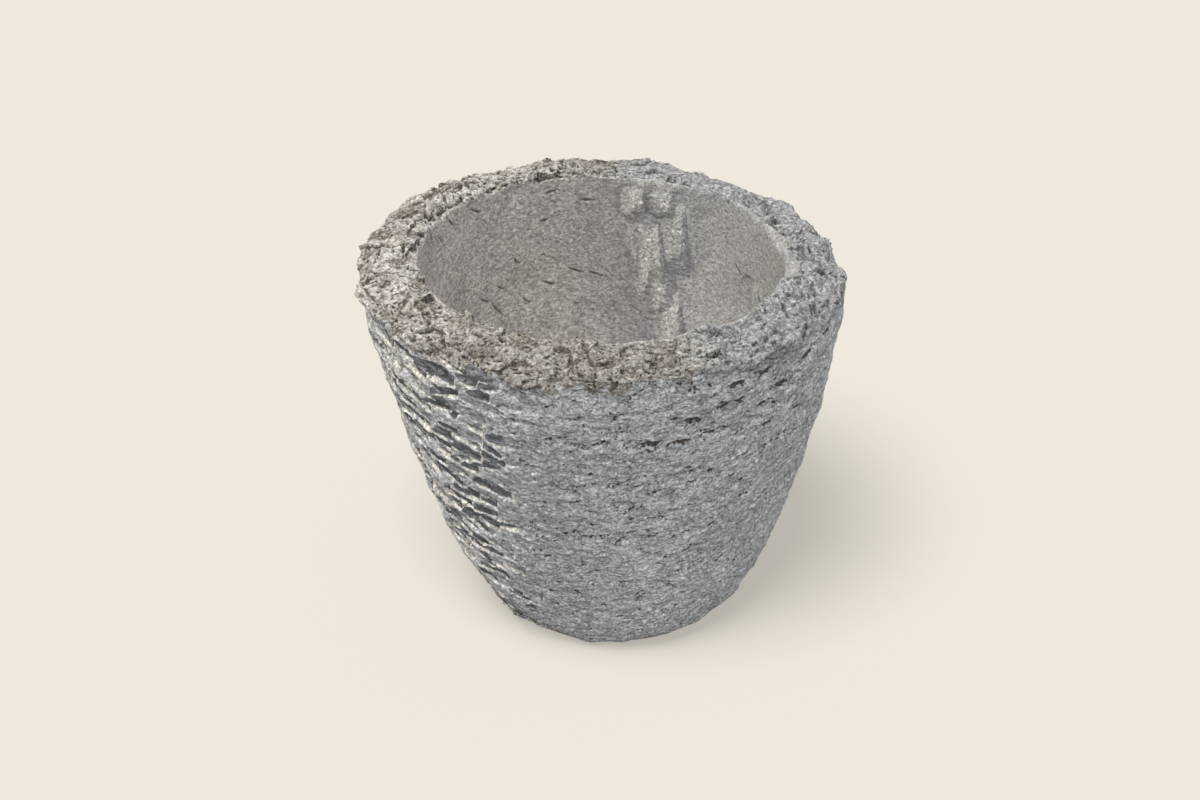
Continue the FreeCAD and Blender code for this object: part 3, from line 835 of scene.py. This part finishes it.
def limestone():
    material, tree = newMaterial("limestone")
    look = limestoneLook

    def attributes(*names):
        return [addNode(tree, "ShaderNodeAttribute", dict(attribute_name=name), {}, "Fac") for name in names]

    place = addNode(tree, "ShaderNodeTexCoord", {}, {}, "Object")
    level = addNode(tree, "ShaderNodeVectorMath", dict(operation="MULTIPLY"), {0: place, 1: look["bedding"]})

    def noise(name, where=place):
        scale, detail, rough = look[name]
        return addNode(tree, "ShaderNodeTexNoise", dict(noise_dimensions="3D"),
                       {"Vector": where, "Scale": scale, "Detail": detail, "Roughness": rough}, "Fac")

    def cells(scale, out, where=place):
        return addNode(tree, "ShaderNodeTexVoronoi", {}, {"Vector": where, "Scale": scale}, out)

    def paint(share, below, above, how="MIX"):
        return mixColour(tree, share, below, above, how)

    soil, shade, creviceShade, slateShade, freshAndSunlit = attributes("soil", "shade", "creviceShade", "slateShade", "freshAndSunlit")
    wornAndHighlit, rim, hollow, coolAndShaded, pale, stroke = attributes("wornAndHighlit", "rim", "hollow", "coolAndShaded", "pale", "stroke")
    broad, patchy, speckle, sand = noise("broad"), noise("patchy"), noise("speckle"), noise("sand")
    dashes = noise("dashes", level)
    mottle = dashes * 0.45 + sand * 0.40 + broad * 0.15
    veins = abs(noise("veins", level) - 0.5).between(0.020, 0.002)
    veins = veins + abs(noise("hairs", level) - 0.5).between(0.016, 0.0)

    # small bent facets, and round holes where the surface cuts through a pore
    bendScale, bendDetail = look["facetBend"]
    bent = addNode(tree, "ShaderNodeTexNoise", {}, {"Vector": place, "Scale": bendScale, "Detail": bendDetail}, "Color")
    bent = addNode(tree, "ShaderNodeVectorMath", dict(operation="MULTIPLY_ADD"),
                   {0: bent, 1: look["facetWarp"], 2: level})
    facet = cells(look["facets"], "Color", bent).between(0.25, 0.75)
    far = cells(look["pinholes"], "Distance")
    kind = Wire(tree, far.socket.node.outputs["Color"])
    pinholes = far.between(look["pinholeSize"], look["pinholeSize"] * 0.5) * kind.between(0.36, 0.44)
    pinholes = pinholes * patchy.between(0.38, 0.56)

    # the wall
    tone = mottle + (stroke - 0.5) * 0.22 + (facet - 0.5) * 0.12
    colour = paint(tone.between(0.38, 0.60), look["wallDark"], look["wall"])

    # the rim, warm on the left with painted sunlight making it paler, and cool on the right with painted shade making
    # it a darker grey
    crumbly = paint(pale * (patchy + speckle * 0.4).between(0.82, 0.60), look["rim"], look["pale"])
    crumbly = paint((patchy * 0.5 + noise("stains") * 0.5).between(0.48, 0.62), crumbly, look["stain"])
    coolShadeRim = paint(mottle.between(0.40, 0.58), look["coolShadeDark"], look["rimCoolShade"])
    crumbly = paint((coolAndShaded + broad * 0.9 - 0.45).between(0.2, 0.7), crumbly, coolShadeRim)
    colour = paint((rim + dashes * 0.8 - 0.4).between(0.3, 0.7), colour, crumbly)

    # the hollow
    inner = paint((patchy * 0.3 + noise("innerSand") * 0.7).between(0.38, 0.58), look["hollowDark"], look["hollow"])
    inner = paint(coolAndShaded * 0.75, inner, look["hollowCool"])
    colour = paint(hollow, colour, inner)

    # plates darkened with painted shade, fresh breaks lightened with painted sunlight, and worn edges with painted
    # highlight
    flake = paint(noise("slateBands", level).between(0.40, 0.60), look["slateShadeDark"], look["slateShade"])
    colour = paint((slateShade + dashes * 0.6 - 0.3).between(0.35, 0.60) * 0.95, colour, flake)
    colour = paint((freshAndSunlit + sand * 0.7 - 0.35).between(0.35, 0.62), colour, look["freshAndSunlit"])
    colour = paint(wornAndHighlit.between(0.25, 1.0) * dashes.between(0.40, 0.60) * 0.7, colour, look["freshAndSunlit"])

    # painted shade and veins, painted shade in crevices, and soil; the more soil, the more and the wider the dark holes
    # of soil and painted shade
    colour = paint(shade * 0.8 + veins * (1 - hollow * 0.9) * 0.45, colour, look["dimmed"], "MULTIPLY")
    colour = paint(creviceShade.between(0.1, 0.9) * 0.85, colour, look["crack"])
    colour = paint(soil.between(0.05, 0.65) * 0.5, colour, look["brown"])
    holes = cells(look["soilHoles"], "Distance") + (speckle - 0.5) * 0.5
    soilHoles = (soil * 1.15 - holes).between(-0.02, 0.10)
    colour = paint(soilHoles * 0.9, colour, look["soil"])
    # pores on the rim and in the hollow's right darkened with painted shade, and darker speckle
    pored = pinholes * (rim * (0.6 - coolAndShaded * 0.3) + hollow * coolAndShaded * 0.45) + speckle.between(0.58, 0.32) * 0.3
    colour = paint(pored.between(0.42, 0.70) * 0.85, colour, look["crack"])

    grit = paint(speckle.between(0.34, 0.66), look["gritLow"], look["gritHigh"])
    colour = paint(rim * (1 - coolAndShaded) * 0.25 + 0.75 - hollow * 0.25, colour, grit, "MULTIPLY")
    height = noise("dust") - pinholes * (rim + hollow * coolAndShaded) * 0.8 - soilHoles * 0.8 - veins * 0.4 + facet * 0.3
    normal = addNode(tree, "ShaderNodeBump", {}, {"Height": height, "Strength": 1.0, "Distance": look["bump"]})
    stone = addNode(tree, "ShaderNodeBsdfPrincipled", {}, {
        "Base Color": colour, "Roughness": look["roughness"], "Specular IOR Level": look["shine"], "Normal": normal})
    addNode(tree, "ShaderNodeOutputMaterial", {}, {"Surface": stone})
    return material


hewnStone.data.materials.append(limestone())
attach(hewnStone, "root")
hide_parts("stone_vessel")
print("limestone laid on")


# a plain pale floor, soft light and the photographed view

studio = dict(
    floor=(0.863, 0.815, 0.723), floorSize=30.0, floorPaint=(0.381, 0.359, 0.3165), floorBounce=(0.24, 0.23, 0.21),
    glow=0.52, floorLamp=6.6, floorWay=(0.211, 0.366, -0.906), floorSpread=30.0, sky=(0.36, 0.369, 0.382),
    sun=(1.0, 0.94, 0.85), sunPower=3.2, sunWay=(0.616, 0, -0.788), sunSpread=0.8, white=(1, 1, 1),
    frontPower=1.95, frontWay=(-0.10, 0.76, -0.64), frontSpread=12.0, backPower=1.0, backWay=(-0.55, -0.55, -0.63),
    lens=60.0, sensor=36.0, target=(-0.01875, 0, 0.2503), distance=2.393, elevation=30.644,
)


def paleFloor():
    half = studio["floorSize"] / 2
    mesh = bpy.data.meshes.new("paleFloor")
    mesh.from_pydata([(-half, -half, 0), (half, -half, 0), (half, half, 0), (-half, half, 0)], [], [(0, 1, 2, 3)])
    floor = bpy.data.objects.new("paleFloor", mesh)
    bpy.context.scene.collection.objects.link(floor)
    material, tree = newMaterial("palePaint")
    seen = addNode(tree, "ShaderNodeLightPath", {}, {}, "Is Camera Ray")
    paint = addNode(tree, "ShaderNodeBsdfDiffuse", {}, {"Color": studio["floorPaint"] + (1,)})
    glow = addNode(tree, "ShaderNodeEmission", {}, {"Color": studio["floor"] + (1,), "Strength": 1.0})
    dull = addNode(tree, "ShaderNodeBsdfDiffuse", {}, {"Color": studio["floorBounce"] + (1,)})
    shown = addNode(tree, "ShaderNodeMixShader", {}, {0: studio["glow"], 1: paint, 2: glow})
    both = addNode(tree, "ShaderNodeMixShader", {}, {0: seen, 1: dull, 2: shown})
    addNode(tree, "ShaderNodeOutputMaterial", {}, {"Surface": both})
    mesh.materials.append(material)
    return floor


def softSky():
    world = bpy.data.worlds.new("softSky")
    bpy.context.scene.world = world
    world.use_nodes = True
    tree = world.node_tree
    tree.nodes.clear()
    seen = addNode(tree, "ShaderNodeLightPath", {}, {}, "Is Camera Ray")
    light = addNode(tree, "ShaderNodeBackground", {}, {"Color": studio["sky"] + (1,), "Strength": 1.0})
    pale = addNode(tree, "ShaderNodeBackground", {}, {"Color": studio["floor"] + (1,), "Strength": 1.0})
    both = addNode(tree, "ShaderNodeMixShader", {}, {0: seen, 1: light, 2: pale})
    addNode(tree, "ShaderNodeOutputWorld", {}, {"Surface": both})


def sunLamp(name, power, colour, way, spread, lit):    # a lamp far away that lights one object only
    lamp = bpy.data.lights.new(name, "SUN")
    lamp.energy, lamp.color, lamp.angle = power, colour, math.radians(spread)
    sun = bpy.data.objects.new(name, lamp)
    sun.rotation_mode = "QUATERNION"
    sun.rotation_quaternion = Vector(way).to_track_quat("-Z", "Y")
    bpy.context.scene.collection.objects.link(sun)
    only = bpy.data.collections.new(name + "Only")
    only.objects.link(lit)
    sun.light_linking.receiver_collection = only


def photoCamera():
    lens = bpy.data.cameras.new("photoCamera")
    lens.lens, lens.sensor_width = studio["lens"], studio["sensor"]
    camera = bpy.data.objects.new("photoCamera", lens)
    tilt = math.radians(studio["elevation"])
    back = Vector((0, -math.cos(tilt), math.sin(tilt)))
    camera.location = Vector(studio["target"]) + back * studio["distance"]
    camera.rotation_mode = "QUATERNION"
    camera.rotation_quaternion = (-back).to_track_quat("-Z", "Y")
    bpy.context.scene.collection.objects.link(camera)
    bpy.context.scene.camera = camera


floor = paleFloor()
softSky()
sunLamp("warmSun", studio["sunPower"], studio["sun"], studio["sunWay"], studio["sunSpread"], hewnStone)
sunLamp("frontLamp", studio["frontPower"], studio["white"], studio["frontWay"], studio["frontSpread"], hewnStone)
sunLamp("backLamp", studio["backPower"], studio["white"], studio["backWay"], studio["frontSpread"], hewnStone)
sunLamp("floorLamp", studio["floorLamp"], studio["white"], studio["floorWay"], studio["floorSpread"], floor)
photoCamera()
bpy.context.scene.view_settings.view_transform = "Standard"
print("studio set")
